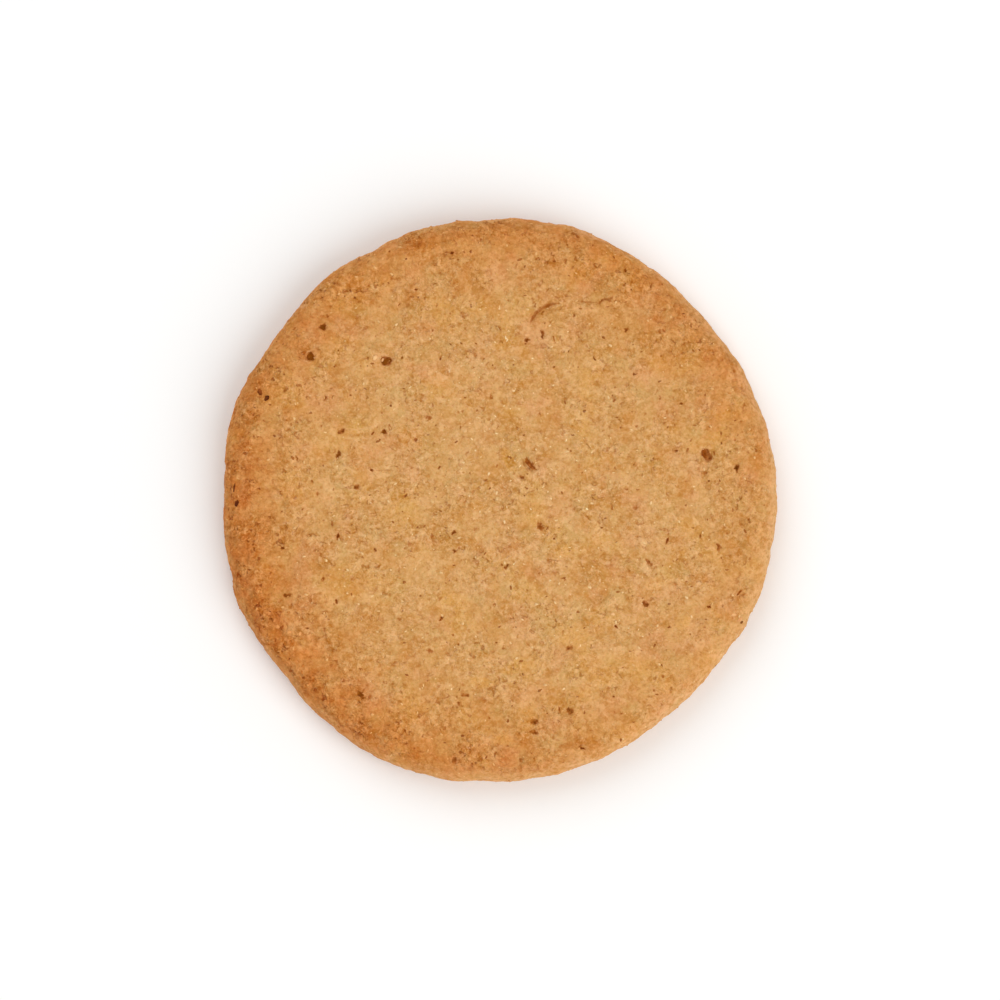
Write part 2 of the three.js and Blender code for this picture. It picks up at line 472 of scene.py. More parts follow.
@dataclass
class BakedDough:
    """The biscuit itself: one closed skin, fine enough to carry the crumb as real relief."""

    solid: Solid
    browning: OvenBrowning = field(default_factory=OvenBrowning)
    rim: RimSkin = field(default_factory=RimSkin)
    top_rings: int = 138
    side_rows: int = 32
    underside_rings: int = 69
    points_per_ring_step: int = 6
    spine_inset: float = 3.4 * MM
    spine_height: float = 3.1 * MM
    row_crowding: float = 1.25
    tear_reach: float = 0.045 * MM
    tear_waves: tuple[tuple[tuple[float, float, float], ...], ...] = (
        ((5.1, 2.3, 0), (-7.7, 2.9, 1), (3.3, 9.1, 2)),
        ((-3.1, 4.3, 3), (8.3, 5.7, 0), (-8.9, 6.1, 4)),
    )
    rest_height: float = 0.16 * MM
    top_turn: float = 0.3
    edge_samples: int = 720
    flakes: tuple[OatFlake, ...] = (
        OatFlake(1.05, 3.95, 2.7, 1.1, -60),
        OatFlake(7.0, -6.1, 2.6, 1.8, 20, 0.5),
        OatFlake(20.2, -14.0, 2.8, 1.5, 50, 0.4),
        OatFlake(1.5, -19.0, 3.2, 1.6, 15, 0.5),
        OatFlake(-2.0, -20.6, 3.0, 1.4, -10, 0.5),
        OatFlake(0.3, -26.8, 2.6, 1.5, 0, 0.5),
        OatFlake(-13.0, 24.0, 2.4, 1.4, 40, 0.4),
        OatFlake(9.5, 11.0, 2.6, 1.7, -20, 0.4),
    )
    creases: tuple[Crease, ...] = (
        Crease(77.6, 0.688, 4.5, 0.38, 34, -84, 0.9, 0.6),
        Crease(66.3, 0.76, 2.6, 0.18, -4, shade=0.55),
        Crease(46, 0.158, 1.9, 0.36, -48, 10, 0.3, 0.8),
        Crease(51, 0.14, 1.6, 0.22, -58, 15, shade=0.6),
        Crease(71, 0.59, 0.9, 0.16, -70, 60),
        Crease(62.4, 0.794, 1.7, 0.3, 15, -190, shade=0.75),
        Crease(61, 0.804, 1.3, 0.26, 10, 160, shade=0.65),
    )
    small_tears: tuple[Crease, ...] = (
        Crease(153.5, 0.505, 0.6, 0.25, 50),
        Crease(168.5, 0.465, 0.45, 0.35, 0),
        Crease(167.5, 0.426, 2.0, 0.14, 2, shade=0.45),
        Crease(101, 0.887, 0.5, 0.45, 40),
        Crease(112, 0.797, 0.45, 0.35, 0),
        Crease(-15, 0.614, 0.9, 0.32, 70),
        Crease(-22, 0.916, 1.0, 0.25, 45),
        Crease(-28, 0.839, 0.55, 0.38, 0),
        Crease(-48.5, 0.62, 0.6, 0.28, -40),
        Crease(-72, 0.944, 0.7, 0.38, -20),
        Crease(-74.5, 0.787, 0.8, 0.25, 100),
        Crease(12, 0.742, 1.1, 0.6, -80, shade=0.8),
        Crease(194, 0.593, 0.8, 0.38, 80),
        Crease(213, 0.69, 0.6, 0.32, 100),
        Crease(193.5, 0.793, 0.5, 0.38, 0),
        Crease(244.5, 0.482, 0.8, 0.36, 50),
        Crease(61, 0.924, 0.5, 0.38, 100),
    )

    def tearing(self, points: np.ndarray) -> np.ndarray:
        """Gives how far from each point the solid is read, which tears the smooth outlines of its holes.

        Args:
            points: The points, one row each.

        Returns:
            Small sideways steps, one row each.
        """
        x, y = points[:, 0] / MM, points[:, 1] / MM
        steps = [sum(np.sin(a * x + b * y + start) for a, b, start in waves) for waves in self.tear_waves]
        return self.tear_reach * np.stack([*steps, 0 * x], 1)

    def flat_ring(self, edge: np.ndarray, share: float, count: int, side: int) -> np.ndarray:
        """Lays one ring on the top or the underside, where a ragged reach tears the outlines of the holes.

        Args:
            edge: How far the edge is from the middle, at even steps round it.
            share: How far out the ring lies: 0 in the middle, and 1 over the spine.
            count: How many points it has, where none means the one in the middle.
            side: 1 on the top, and -1 on the underside.

        Returns:
            Each point's place and its turn, one row each.
        """
        round_once = np.linspace(0, 2 * np.pi, len(edge), endpoint=False)
        bearings = np.linspace(0, 2 * np.pi, max(count, 1), endpoint=False)
        radii = share * (np.interp(bearings, round_once, edge, period=2 * np.pi) - self.spine_inset)
        height = np.full_like(radii, side * Solid.FAR)
        start = np.stack([radii * np.cos(bearings), radii * np.sin(bearings), height], 1)
        points = self.solid.hit(start + self.tearing(start), np.broadcast_to([0.0, 0.0, -side], start.shape))
        points[:, :2] = start[:, :2]
        return np.column_stack([points, np.full(len(points), (1 - side) / 2)])

    def rings(self) -> list[np.ndarray]:
        """Lays rings of points over the solid.

        Returns:
            The rings from the middle of the top, over the edge, to the middle of the underside. Each row
            holds a point's place and then its turn, which is 0 on the top and 1 underneath.
        """
        columns = self.points_per_ring_step * self.top_rings
        round_once = np.linspace(0, 2 * np.pi, columns, endpoint=False)
        edge = self.solid.edge_radius(round_once)
        rings = []
        for k in range(self.top_rings + 1):
            rings.append(self.flat_ring(edge, k / self.top_rings, self.points_per_ring_step * k, 1))
        out = np.stack([np.cos(round_once), np.sin(round_once), 0 * round_once], 1)
        up = np.array([0.0, 0.0, 1.0])
        spine = out * (edge - self.spine_inset)[:, None] + up * self.spine_height
        for row in range(1, self.side_rows):
            turn = (row / self.side_rows) ** self.row_crowding
            angle = math.pi / 2 - math.pi * turn
            points = self.solid.hit(spine, out * math.cos(angle) + up * math.sin(angle))
            rings.append(np.column_stack([points, np.full(columns, turn)]))
        for k in range(self.underside_rings, -1, -1):
            rings.append(self.flat_ring(edge, k / self.underside_rings, self.points_per_ring_step * k, -1))
        return rings

    @staticmethod
    def stitch(first: int, here: int, second: int, there: int) -> list[tuple[int, int, int]]:
        """Joins two neighbouring rings with triangles.

        Args:
            first: The number of the first point of the one ring.
            here: How many points that ring has.
            second: The number of the first point of the next ring.
            there: How many points the next ring has.

        Returns:
            The triangles, facing outwards. A ring of one point closes the skin as a fan.
        """
        steps_here, steps_there = (0 if n == 1 else n for n in (here, there))
        faces = []
        i = j = 0
        while i < steps_here or j < steps_there:
            corners = first + i % here, second + j % there
            if i == steps_here or (j < steps_there and (j + 1) * steps_here <= (i + 1) * steps_there):
                j += 1
                faces.append((*corners, second + j % there))
            else:
                i += 1
                faces.append((*corners, first + i % here))
        return faces

    def blank(self) -> bpy.types.Mesh:
        """Makes the skin before its crumb: closed, and with what each point needs to know of its place.

        Returns:
            A mesh whose points carry how browned and how open they are, and where they lie from the flakes
            and the creases.
        """
        rings = self.rings()
        faces = []
        first = 0
        for ring, after in zip(rings, rings[1:]):
            faces += self.stitch(first, len(ring), first + len(ring), len(after))
            first += len(ring)
        table = np.concatenate(rings)
        points, turn = table[:, :3], table[:, 3]
        points[:, 2] = np.maximum(points[:, 2], self.rest_height)
        bearing = np.arctan2(points[:, 1], points[:, 0])
        round_once = np.linspace(0, 2 * np.pi, self.edge_samples, endpoint=False)
        edge = np.interp(bearing, round_once, self.solid.edge_radius(round_once), period=2 * np.pi)
        inset = np.maximum(edge - np.hypot(points[:, 0], points[:, 1]), 0)
        in_flake = np.max([flake.share(points) for flake in self.flakes], axis=0)
        reach = mean_reach(self.solid.low, self.solid.high)
        creases = self.creases + self.small_tears
        measured = zip(*(crease.measure(points, reach) for crease in creases))
        aside, half_widths, laps = (np.stack(each) for each in measured)
        shades = np.array([crease.shade for crease in creases])
        nearest = np.argmin(np.abs(aside) - half_widths, axis=0), np.arange(len(points))
        on_top = turn < self.top_turn
        mesh = bpy.data.meshes.new("biscuit_skin")
        mesh.from_pydata(points.tolist(), [], faces)
        keep_values(
            mesh,
            {
                "bake": self.browning.share(bearing, inset, turn),
                "open": self.rim.openness(bearing, inset, turn),
                "flake": in_flake * on_top,
                "aside": aside[nearest],
                "half_width": np.where(on_top, half_widths[nearest], -Crease.FAR),
                "crease": shades[nearest[0]],
                "lap": np.max(laps, axis=0) * on_top,
            },
        )
        return mesh

    def build(self, finish: OatCrust) -> bpy.types.Object:
        """Makes the whole biscuit, with its crumb as relief and its finish.

        Args:
            finish: The material of the dough.

        Returns:
            The finished piece.
        """
        piece = new_object("baked_biscuit", self.blank())
        CrumbRelief().apply(piece, finish.build())
        return piece


@dataclass(frozen=True)
class Hollows:
    """A kind of small hollow in the crumb, long and ragged, of which a share of a pattern's cells has one.

    Its name is that of the tree's input for its depth. A squeeze below 1 draws the hollows out, their rarity
    leaves most of them shallow, and their floor is a share of their radius.
    """

    name: str
    cell: float
    radius: float
    depth: float
    share: float
    squeeze: float
    turn: float = 0.0
    rarity: float = 1.8
    floor: float = 0.3

    def shape(self, recipe: Recipe, place: bpy.types.Node) -> bpy.types.Node:
        """Adds the hollows, each of a depth of its own.

        Args:
            recipe: The tree they go into.
            place: The places they are drawn on.

        Returns:
            The node that gives how deep they are: 1 for the deepest, and 0 outside them.
        """
        add = recipe.add
        drawn = add("ShaderNodeVectorRotate", {"Vector": place, "Angle": self.turn}, rotation_type="Z_AXIS")
        drawn = add("ShaderNodeVectorMath", {0: drawn, 1: (self.squeeze, 1.0, 1.0)}, operation="MULTIPLY")
        cells = add("ShaderNodeTexVoronoi", {"Vector": drawn, "Scale": 1 / self.cell})
        border = self.radius / self.cell
        ends = {"From Min": border, "From Max": self.floor * border}
        bowl = add("ShaderNodeMapRange", {"Value": cells, **ends}, interpolation_type="SMOOTHSTEP")
        draw = add("FunctionNodeSeparateColor", {"Color": cells.outputs["Color"]})
        ends = {"From Min": 1 - self.share, "From Max": 1.0}
        deep = add("ShaderNodeMapRange", {"Value": draw.outputs["Red"], **ends})
        deep = add("ShaderNodeMath", {0: deep, 1: self.rarity}, operation="POWER")
        return add("ShaderNodeMath", {0: bowl, 1: deep}, operation="MULTIPLY")


@dataclass(frozen=True)
class CrumbRelief:
    """The crumb of the dough as real relief: lumps, the steps of pressed flakes, pores and small tears."""

    ease_steps: int = 10
    hole_slack: float = 0.04 * MM
    hole_floor: float = 0.5 * MM
    lump_size: float = 2.6 * MM
    lump_height: float = 0.2 * MM
    step_size: float = 1.7 * MM
    step_count: float = 11.0
    step_height: float = 0.05 * MM
    step_start: float = 0.3
    step_end: float = 0.7
    grain_size: float = 0.6 * MM
    grain_height: float = 0.16 * MM
    noise_roughness: float = 0.6
    hollows: tuple[Hollows, ...] = (
        Hollows("Tear depth", 2.1 * MM, 0.38 * MM, 0.34 * MM, 0.3, 0.55),
        Hollows("Pore depth", 1.15 * MM, 0.25 * MM, 0.24 * MM, 0.6, 0.75, math.radians(90)),
        Hollows("Slit depth", 2.4 * MM, 0.38 * MM, 0.32 * MM, 0.35, 0.45, math.radians(52)),
    )
    hollow_shade: float = 0.62
    tatter_size: float = 0.8 * MM
    tatter_reach: float = 0.9 * MM
    crease_depth: float = 0.2 * MM
    crease_border: float = 0.1 * MM
    lap_depth: float = 0.1 * MM
    rag_size: float = 2.4 * MM
    rag_height: float = 0.6 * MM
    rag_squeeze: float = 0.25

    def apply(self, piece: bpy.types.Object, finish: bpy.types.Material) -> None:
        """Raises the crumb on a piece and dresses it.

        Args:
            piece: The blank skin, whose points carry how open the crumb is.
            finish: The material of the dough.
        """
        recipe = Recipe(
            "crumb_relief",
            {
                "Ease steps": self.ease_steps,
                "Lump height": self.lump_height,
                "Step height": self.step_height,
                "Grain height": self.grain_height,
                **{kind.name: kind.depth for kind in self.hollows},
                "Crease depth": self.crease_depth,
                "Lap depth": self.lap_depth,
                "Rag height": self.rag_height,
                "Finish": finish,
            },
        )
        add, inputs = recipe.add, recipe.inputs
        place = add("GeometryNodeInputPosition")
        known = {}
        for name in ("open", "aside", "half_width", "lap"):
            known[name] = add("GeometryNodeInputNamedAttribute", {"Name": name}, data_type="FLOAT")

        # The solid's flat faces are eased into one smooth form, and its cut holes are put back on top.
        ease = {"Value": place, "Iterations": inputs["Ease steps"]}
        eased = add("GeometryNodeBlurAttribute", ease, data_type="FLOAT_VECTOR")
        sunk = add("ShaderNodeVectorMath", {0: eased, 1: place}, operation="SUBTRACT")
        kept = add("GeometryNodeCaptureAttribute", {"Geometry": inputs["Mesh"]})
        kept.capture_items.new("VECTOR", "Sunk")
        recipe.tree.links.new(sunk.outputs[0], kept.inputs["Sunk"])
        smooth = add("GeometryNodeSetPosition", {"Geometry": kept, "Position": eased})
        normal = add("GeometryNodeInputNormal")
        depth = add("ShaderNodeVectorMath", {0: kept.outputs["Sunk"], 1: normal}, operation="DOT_PRODUCT")
        hole = add("ShaderNodeMath", {0: depth.outputs["Value"], 1: self.hole_slack}, operation="SUBTRACT")
        hole = add("ShaderNodeMath", {0: hole, 1: 0.0}, operation="MAXIMUM")

        def noise(size: float, detail: float, shift: float) -> bpy.types.Node:
            """Adds a noise whose features measure a real size.

            Args:
                size: The size of its features, in metres.
                detail: How many finer layers it has.
                shift: A number that sets it apart from the other noises.

            Returns:
                The node that gives the noise, centred on 0.
            """
            moved = add("ShaderNodeVectorMath", {0: place, 1: (shift, shift, shift)}, operation="ADD")
            grain = {"Scale": 1 / size, "Detail": detail, "Roughness": self.noise_roughness}
            waves = add("ShaderNodeTexNoise", {"Vector": moved, **grain})
            return add("ShaderNodeMath", {0: waves, 1: 0.5}, operation="SUBTRACT")

        lumps = noise(self.lump_size, 1.0, 0.0)
        grains = noise(self.grain_size, 2.0, 0.5)
        layers = {0: noise(self.step_size, 2.0, 0.9), 1: self.step_count}
        flaky = add("ShaderNodeMath", layers, operation="MULTIPLY")
        tread = add("ShaderNodeMath", {0: flaky}, operation="FLOOR")
        riser = add("ShaderNodeMath", {0: flaky}, operation="FRACT")
        ends = {"From Min": self.step_start, "From Max": self.step_end}
        riser = add("ShaderNodeMapRange", {"Value": riser, **ends}, interpolation_type="SMOOTHSTEP")
        steps = add("ShaderNodeMath", {0: tread, 1: riser}, operation="ADD")
        height = add("ShaderNodeMath", {0: lumps, 1: inputs["Lump height"]}, operation="MULTIPLY")
        for rise, name in ((grains, "Grain height"), (steps, "Step height")):
            height = add("ShaderNodeMath", {0: rise, 1: inputs[name], 2: height}, operation="MULTIPLY_ADD")

        # The small hollows of the dough, its creases and their laps go down into it where the crumb is open.
        tatters = add("ShaderNodeTexNoise", {"Vector": place, "Scale": 1 / self.tatter_size, "Detail": 2.0})
        torn = ragged(add, place, tatters, self.tatter_reach)
        hollowed = {kind.name: kind.shape(recipe, torn) for kind in self.hollows}
        pit, *others = hollowed.values()
        for other in others:
            pit = add("ShaderNodeMath", {0: pit, 1: other}, operation="MAXIMUM")
        aside = add("ShaderNodeMath", {0: known["aside"]}, operation="ABSOLUTE")
        crease = add("ShaderNodeMath", {0: aside, 1: known["half_width"]}, operation="SUBTRACT")
        ends = {"From Min": self.crease_border, "From Max": -self.crease_border}
        hollowed["Crease depth"] = add("ShaderNodeMapRange", {"Value": crease, **ends})
        hollowed["Lap depth"] = known["lap"]
        for name, hollow in hollowed.items():
            deep = add("ShaderNodeMath", {0: hollow, 1: inputs[name]}, operation="MULTIPLY")
            height = add("ShaderNodeMath", {0: height, 1: deep}, operation="SUBTRACT")
        height = add("ShaderNodeMath", {0: height, 1: known["open"]}, operation="MULTIPLY")
        height = add("ShaderNodeMath", {0: height, 1: hole}, operation="SUBTRACT")

        # The cut side is a little ragged, much the same from its top to its foot.
        level = add("ShaderNodeVectorMath", {0: normal, 1: (1.0, 1.0, 0.0)}, operation="MULTIPLY")
        level = add("ShaderNodeVectorMath", {0: level}, operation="LENGTH").outputs["Value"]
        ragged_side = add("ShaderNodeMath", {0: level, 1: inputs["Rag height"]}, operation="MULTIPLY")
        squeeze = (1.0, 1.0, self.rag_squeeze)
        drawn_up = add("ShaderNodeVectorMath", {0: place, 1: squeeze}, operation="MULTIPLY")
        rags = add("ShaderNodeTexNoise", {"Vector": drawn_up, "Scale": 1 / self.rag_size, "Detail": 3.0})
        rags = add("ShaderNodeMath", {0: rags, 1: 0.5}, operation="SUBTRACT")
        height = add("ShaderNodeMath", {0: rags, 1: ragged_side, 2: height}, operation="MULTIPLY_ADD")
        offset = add("ShaderNodeVectorMath", {0: normal, "Scale": height}, operation="SCALE")

        # What the finish needs to know: how much painted shade each hollow takes, and where the grains stand
        # up.
        for share in (known["open"], self.hollow_shade):
            pit = add("ShaderNodeMath", {0: pit, 1: share}, operation="MULTIPLY")
        hole_share = add("ShaderNodeMath", {0: hole, 1: 1 / self.hole_floor}, operation="MULTIPLY")
        pit = add("ShaderNodeMath", {0: pit, 1: hole_share}, operation="MAXIMUM", use_clamp=True)
        mesh = smooth
        for name, value in (("pit", pit), ("grain", grains)):
            mesh = add("GeometryNodeStoreNamedAttribute", {"Geometry": mesh, "Name": name, "Value": value})
        mesh = add("GeometryNodeSetPosition", {"Geometry": mesh, "Offset": offset})
        mesh = add("GeometryNodeSetShadeSmooth", {"Geometry": mesh})
        mesh = add("GeometryNodeRealizeInstances", {"Geometry": mesh})
        mesh = add("GeometryNodeSetMaterial", {"Geometry": mesh, "Material": inputs["Finish"]})
        recipe.run(piece, mesh)


# ---- Finishes ----


@dataclass(frozen=True)
class Step:
    """A smooth step in a share: from low to high, as a pattern passes from start to end."""

    pattern: object
    start: float
    end: float
    high: float = 1.0
    low: float = 0.0


class Coat:
    """A finish in the making: its material, and the ways in which its colours are laid over one another."""

    OVEN_BROWN = "#f2c89e"

    def __init__(self, name: str, attributes: Sequence[str], **sockets: object) -> None:
        """Starts the material.

        Args:
            name: The material's name.
            attributes: The values on the piece's points that it reads.
            sockets: Plain values by the shader's socket names, with underscores for spaces.
        """
        self.material, self.shader = new_material(name, **sockets)
        self.place = self.add("ShaderNodeTexCoord").outputs["Object"]
        self.known: dict[str, bpy.types.NodeSocket] = {}
        for attribute in attributes:
            self.known[attribute] = self.add("ShaderNodeAttribute", attribute_name=attribute).outputs["Fac"]

    def add(self, kind: str, inputs: Inputs | None = None, **settings: object) -> bpy.types.Node:
        """Adds a node to this material, as add_node does."""
        return add_node(self.material.node_tree, kind, inputs, **settings)

    def noise(self, size: float, detail: float, shift: float = 0.0, **more: float) -> bpy.types.Node:
        """Adds a noise whose features measure a real size.

        Args:
            size: The size of its features, in metres.
            detail: How many finer layers it has.
            shift: A number that sets it apart from the other noises.
            more: Other values of the noise.

        Returns:
            The noise's node.
        """
        moved = self.add("ShaderNodeVectorMath", {0: self.place, 1: (shift, -shift, shift)}, operation="ADD")
        return self.add("ShaderNodeTexNoise", {"Vector": moved, "Scale": 1 / size, "Detail": detail, **more})

    def waver(self, size: float, detail: float, shift: float, swing: float) -> bpy.types.Node:
        """Adds a noise that wavers round 1, to break up a share.

        Args:
            size: The size of its features, in metres.
            detail: How many finer layers it has.
            shift: A number that sets it apart from the other noises.
            swing: How far apart its lowest and highest values can be.

        Returns:
            The node that gives its values.
        """
        noise = self.noise(size, detail, shift)
        centred = self.add("ShaderNodeMath", {0: noise, 1: 0.5}, operation="SUBTRACT")
        return self.add("ShaderNodeMath", {0: centred, 1: swing, 2: 1.0}, operation="MULTIPLY_ADD")

    def share(self, *parts: object) -> object:
        """Multiplies parts into one share.

        Args:
            parts: Numbers, nodes, sockets and steps.

        Returns:
            The product, which is the part itself where there is only one and it isn't a step.
        """
        product = None
        for part in parts:
            if isinstance(part, Step):
                ends = {"From Min": part.start, "From Max": part.end, "To Min": part.low, "To Max": part.high}
                stepped = {"Value": part.pattern, **ends}
                part = self.add("ShaderNodeMapRange", stepped, interpolation_type="SMOOTHSTEP")
            if product is not None:
                part = self.add("ShaderNodeMath", {0: product, 1: part}, operation="MULTIPLY")
            product = part
        return product

    @staticmethod
    def paint(colour: object) -> object:
        """Turns a hex colour into a linear one, and leaves a node as it is."""
        return linear(colour) if isinstance(colour, str) else colour

    def over(self, colour: object, *layers: Sequence[object]) -> bpy.types.Node:
        """Lays colours over a colour, one after another.

        Args:
            colour: The colour below, as a hex colour or a node.
            layers: Each holds a colour, as a hex colour or a node, and then the parts of its share.

        Returns:
            The node of the colour on top.
        """
        below = self.paint(colour)
        for tint, *parts in layers:
            mix = {"A": below, "B": self.paint(tint), "Factor": self.share(*parts)}
            below = self.add("ShaderNodeMix", mix, data_type="RGBA")
        return below

    def browned(self, colour: bpy.types.Node, bake: object) -> bpy.types.Node:
        """Browns a colour as the oven does: each share of the browning tints it once more.

        Args:
            colour: The colour of the dough or the grain.
            bake: How far it is browned.

        Returns:
            The node of the browned colour.
        """
        tint = self.add("ShaderNodeGamma", {"Color": linear(self.OVEN_BROWN), "Gamma": bake})
        mix = {"A": colour, "B": tint, "Factor": 1.0}
        return self.add("ShaderNodeMix", mix, data_type="RGBA", blend_type="MULTIPLY")

    def finished(self, colour: bpy.types.Node, bump: bpy.types.Node | None = None) -> bpy.types.Material:
        """Gives the shader its colour and its bump.

        Args:
            colour: The node of the colour.
            bump: The node of the bump, if it has one.

        Returns:
            The finished material.
        """
        links = self.material.node_tree.links
        links.new(shown(colour.outputs, "Result"), self.shader.inputs["Base Color"])
        if bump:
            links.new(bump.outputs["Normal"], self.shader.inputs["Normal"])
        return self.material


@dataclass(frozen=True)
class Dots:
    """Tiny round dots, one in each cell of a pattern.

    A dot fades in between two shares of its radius, from outside it to inside. Each cell draws a number, one
    channel of its colour: its dot shows from the least number on, and at its full strength for a 1.
    """

    cell: float
    radius: float
    fade_start: float
    channel: str
    least: float
    strength: float = 1.0
    disorder: float = 1.0
    fade_end: float = 0.5

    def share(self, coat: Coat, place: bpy.types.Node) -> bpy.types.Node:
        """Adds the dots to a finish.

        Args:
            coat: The finish.
            place: The places they are drawn on.

        Returns:
            The node of their share, which is 0 outside them.
        """
        spread = {"Scale": 1 / self.cell, "Randomness": self.disorder}
        cells = coat.add("ShaderNodeTexVoronoi", {"Vector": place, **spread})
        border = self.radius / self.cell
        draw = coat.add("ShaderNodeSeparateColor", {"Color": cells.outputs["Color"]})
        drawn = Step(draw.outputs[self.channel], self.least, 1.0, self.strength)
        return coat.share(Step(cells, self.fade_start * border, self.fade_end * border), drawn)


@dataclass(frozen=True)
class OatCrust:
    """Baked wholemeal and oat dough: rolled, cut and baked on a steel band.

    Flour, fat and sugar bake to a matt, finely granular tan with no gloss. The oats leave soft toasted, rosy
    and ashen patches, and pressed flakes leave curled edges, with a painted highlight on the lip and painted
    shade at the foot. Torn pores, gaps and creases show a deeper brown that is partly painted shade. The
    oven's heat turns the rim orange-brown, and the rim is palest towards the key lamp, which is partly
    painted light.
    """

    dough: str = "#d5a263"
    toasted: str = "#c88941"
    rosy: str = "#dd9b6c"
    ashen: str = "#cba566"
    pale: str = "#f5c48d"
    # Partly the dough's own browns and partly painted shade, laid in gaps, pinholes, creases, hollows, under
    # laps and at the foot of curls.
    meal_brown_shade: str = "#b06a06"
    gap_brown_shade: str = "#a45200"
    floor_brown_shade: str = "#b86e06"
    pore_shade: str = "#6c2e00"
    # Sugar grains painted near white: partly their own pale colour, partly painted glints.
    sugar: str = "#ffe2ac"
    flake: str = "#c08432"
    butter: str = "#dca04c"
    golden: str = "#dda24c"
    shaded: str = "#ab6f2c"
    skin: str = "#f5bd88"
    roughness: float = 0.86
    light_depth: float = 0.6 * MM
    rough_patch_size: float = 3.4 * MM
    tatter_size: float = 0.7 * MM
    tatter_reach: float = 0.9 * MM
    patch_size: float = 3.2 * MM
    mosaic_size: float = 1.0 * MM
    flake_break: float = 0.6 * MM
    curl_size: float = 0.95 * MM
    curl_count: float = 9.0
    curl_break: float = 0.9 * MM
    curl_height: float = 0.045 * MM
    meal_rise: float = 2.5
    gap_drop: float = 1.2
    gap_width: float = 0.2 * MM
    gap_break: float = 0.7 * MM
    pinholes: Dots = Dots(0.85 * MM, 0.16 * MM, 1.3, "Green", 0.4)
    meal_size: float = 0.5 * MM
    flour_size: float = 0.26 * MM
    sugar_glints: Dots = Dots(0.75 * MM, 0.11 * MM, 1.2, "Blue", 0.6, 0.95, 0.9)
    skin_break: float = 0.8 * MM
    skin_patch_size: float = 1.5 * MM
    bake_patch_size: float = 1.6 * MM
    fray_size: float = 0.3 * MM
    fray_reach: float = 0.35 * MM
    crumb_size: float = 0.35 * MM
    unevenness: float = 2.2

    def build(self) -> bpy.types.Material:
        """Makes the material.

        Returns:
            The material, which reads Object coordinates and the skin's own attributes.
        """
        coat = Coat(
            "wholemeal_oat_crust",
            ("bake", "pit", "grain", "flake", "open", "aside", "half_width", "lap", "crease"),
            Roughness=self.roughness,
            IOR=1.45,
            Specular_IOR_Level=0.15,
            Subsurface_Weight=0.12,
            Subsurface_Scale=self.light_depth,
            Subsurface_Radius=(1.0, 0.45, 0.2),
        )
        add, noise, known = coat.add, coat.noise, coat.known
        opened = known["open"]

        # The crumb is granular in some places, and pressed nearly smooth in others.
        rough = coat.share(
            Step(noise(self.rough_patch_size, 2.0, 4.2), 0.38, 0.62, 1.2, 0.5),
            Step(known["bake"], 0.0, 1.0, 1.6, 0.87),
        )
        torn = ragged(add, coat.place, noise(self.tatter_size, 1.0, 0.3), self.tatter_reach)

        # Soft patches of toasted, rosy, ashen and golden dough, a few millimetres across.
        size = self.patch_size
        colour = coat.over(
            self.dough,
            (self.toasted, Step(noise(size, 3.0, 0.1), 0.45, 0.68, 0.85)),
            (self.rosy, Step(noise(size * 1.2, 2.0, 0.2), 0.5, 0.68, 0.42)),
            (self.ashen, Step(noise(size, 2.0, 0.4), 0.5, 0.68, 0.5)),
            (self.golden, Step(noise(size * 1.6, 1.0, 8.4), 0.5, 0.7, 0.36)),
        )

        # The mosaic of flattened bits of oat, each a shade of its own, and the larger flakes pressed into it.
        cells = {"Vector": torn, "Scale": 1 / self.mosaic_size}
        mosaic = add("ShaderNodeTexVoronoi", cells)
        shade = add("ShaderNodeSeparateColor", {"Color": mosaic.outputs["Color"]}).outputs
        in_flake = coat.share(known["flake"], noise(self.flake_break, 2.0, 0.7))
        colour = coat.over(
            colour,
            (self.meal_brown_shade, Step(shade["Red"], 0.5, 1.0, 0.26)),
            (self.rosy, Step(shade["Green"], 0.7, 1.0, 0.08)),
            (self.pale, Step(shade["Blue"], 0.6, 1.0, 0.3)),
            (self.butter, Step(in_flake, 0.05, 0.25, 0.45)),
            (self.flake, Step(in_flake, 0.25, 0.5, 0.95)),
        )

        # The curled edges of pressed flakes: a painted highlight along the lip and painted shade at the foot,
        # beside the real curls of the bump.
        flaky = noise(self.curl_size, 2.0, 1.3, Distortion=0.6)
        flaky = add("ShaderNodeMath", {0: flaky, 1: self.curl_count}, operation="MULTIPLY")
        tread = add("ShaderNodeMath", {0: flaky}, operation="FLOOR")
        part = add("ShaderNodeMath", {0: flaky}, operation="FRACT")
        broken = noise(self.curl_break, 1.0, 1.9)
        lip_highlight = (Step(part, 0.55, 0.75), Step(part, 1.0, 0.8), Step(broken, 0.42, 0.6))
        foot_shade = (Step(part, 0.45, 0.25), Step(part, 0.0, 0.2), Step(broken, 0.58, 0.4))
        colour = coat.over(colour, (self.pale, *lip_highlight, rough, 0.28), (self.meal_brown_shade, *foot_shade, rough, 0.32))

        # Here and there the bits part, and a short gap shows between them, brown partly of its own and partly
        # painted shade. Pinholes are finer still, dark dots of painted shade.
        border = add("ShaderNodeTexVoronoi", cells, feature="DISTANCE_TO_EDGE")
        half_gap = self.gap_width / self.mosaic_size / 2
        gap = coat.share(
            Step(border, 1.3 * half_gap, 0.4 * half_gap),
            Step(noise(self.gap_break, 0.0, 2.7), 0.62, 0.72),
            opened,
            rough,
        )
        pinhole = coat.share(self.pinholes.share(coat, torn), opened)
        colour = coat.over(
            colour,
            (self.gap_brown_shade, gap, 0.5),
            (self.gap_brown_shade, pinhole, 0.8),
            (self.pore_shade, Step(pinhole, 0.7, 1.0, 0.8)),
        )

